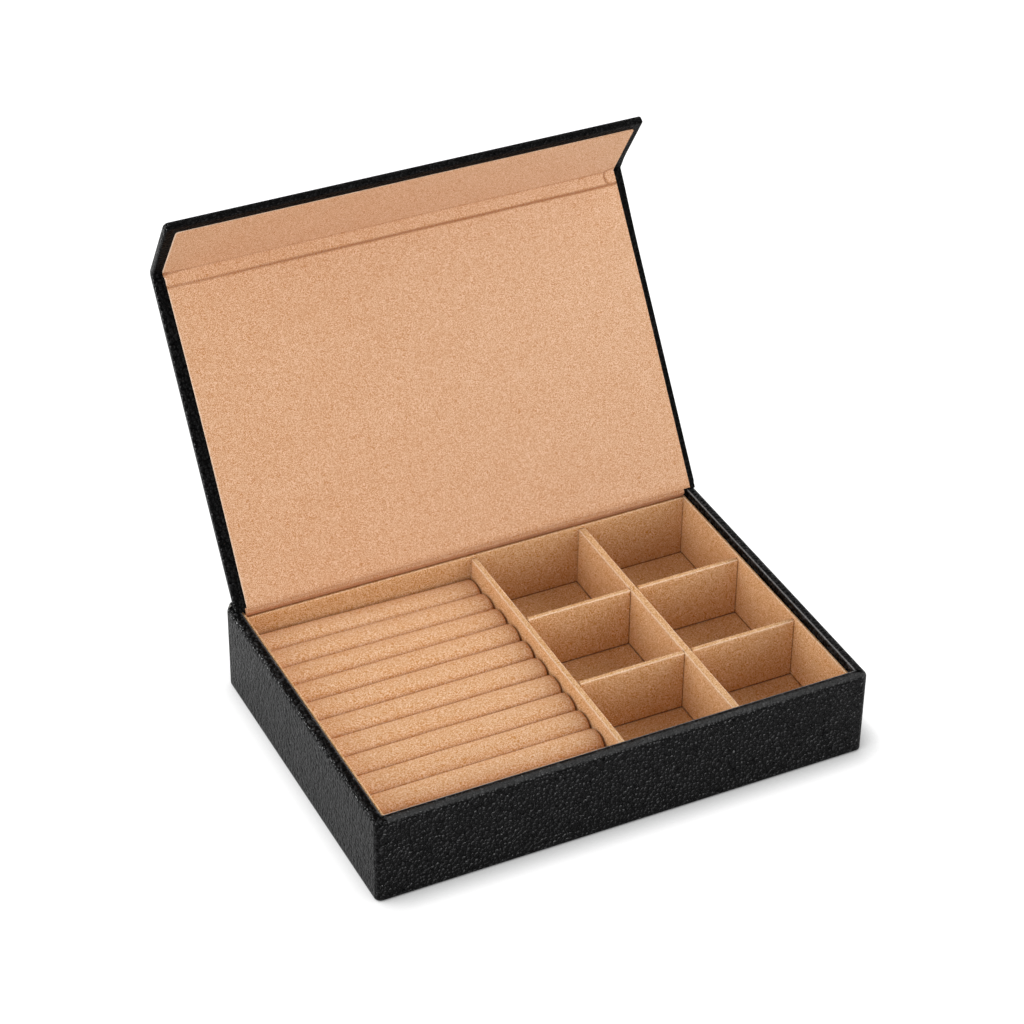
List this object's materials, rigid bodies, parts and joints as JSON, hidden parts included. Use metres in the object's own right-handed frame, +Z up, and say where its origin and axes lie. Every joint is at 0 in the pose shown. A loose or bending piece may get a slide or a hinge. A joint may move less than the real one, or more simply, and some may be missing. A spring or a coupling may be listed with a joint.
{
  "type": "jewellery box",
  "caption": "Leather-covered jewellery box with a swing-back lid, folding front flap, padded ring rolls and suede compartments.",
  "frame": {"origin": "centre of the underside, on the surface that the box stands on", "axes": "+X along the width to the right, +Y to the rear where the lid is hinged, +Z up"},
  "size_m": [0.24, 0.2511, 0.2117],
  "materials": {
    "leather": "black pebble-grained leather, semi-matt",
    "suede": "tan microsuede with a short soft nap",
    "roll_velvet": "tan microsuede over a soft roll",
    "board": "grey board, plain",
    "foam": "thin soft padding",
    "underside": "black fibre paper",
    "magnet": "plated disc"
  },
  "bodies": {
    "tray": {"bottom_board": "board", "floor_foam": "foam", "floor_suede": "suede", "front_cross_divider_board": "board", "front_cross_divider_suede": "suede", "front_liner": "suede", "front_wall_board": "board", "left_liner": "suede", "left_wall_board": "board", "long_divider_board": "board", "long_divider_suede": "suede", "rear_cross_divider_board": "board", "rear_cross_divider_suede": "suede", "rear_liner": "suede", "rear_wall_board": "board", "right_liner": "suede", "right_wall_board": "board", "ring_base_board": "board", "ring_divider_board": "board", "ring_divider_suede": "suede", "ring_roll_01": "roll_velvet", "ring_roll_02": "roll_velvet", "ring_roll_03": "roll_velvet", "ring_roll_04": "roll_velvet", "ring_roll_05": "roll_velvet", "ring_roll_06": "roll_velvet", "ring_roll_07": "roll_velvet", "ring_roll_08": "roll_velvet", "ring_roll_09": "roll_velvet", "ring_roll_10": "roll_velvet", "ring_roll_11": "roll_velvet", "spine_board": "board", "tray_leather": "leather", "underside_sheet": "underside", "wall_magnet_left": "magnet", "wall_magnet_right": "magnet"},
    "lid": {"lid_board": "board", "lid_leather": "leather", "lid_lining": "suede", "lid_hinge_suede": "suede", "fold_leather": "leather", "fold_suede": "suede"},
    "flap": {"flap_board": "board", "flap_leather": "leather", "flap_lining": "suede", "flap_magnet_left": "magnet", "flap_magnet_right": "magnet"}
  },
  "joints": [
    {"name": "lid_hinge", "type": "hinge", "parent": "tray", "child": "lid", "pos_m": [0, 0.074, 0.04366], "axis": [1, 0, 0], "range_deg": [0, 123.9], "deforming": ["lid_hinge_suede"]},
    {"name": "flap_hinge", "type": "hinge", "parent": "lid", "child": "flap", "pos_m": [0, 0.16288, 0.17478], "axis": [1, 0, 0], "range_deg": [-65.5, 24.5], "deforming": ["fold_leather", "fold_suede"]}
  ]
}
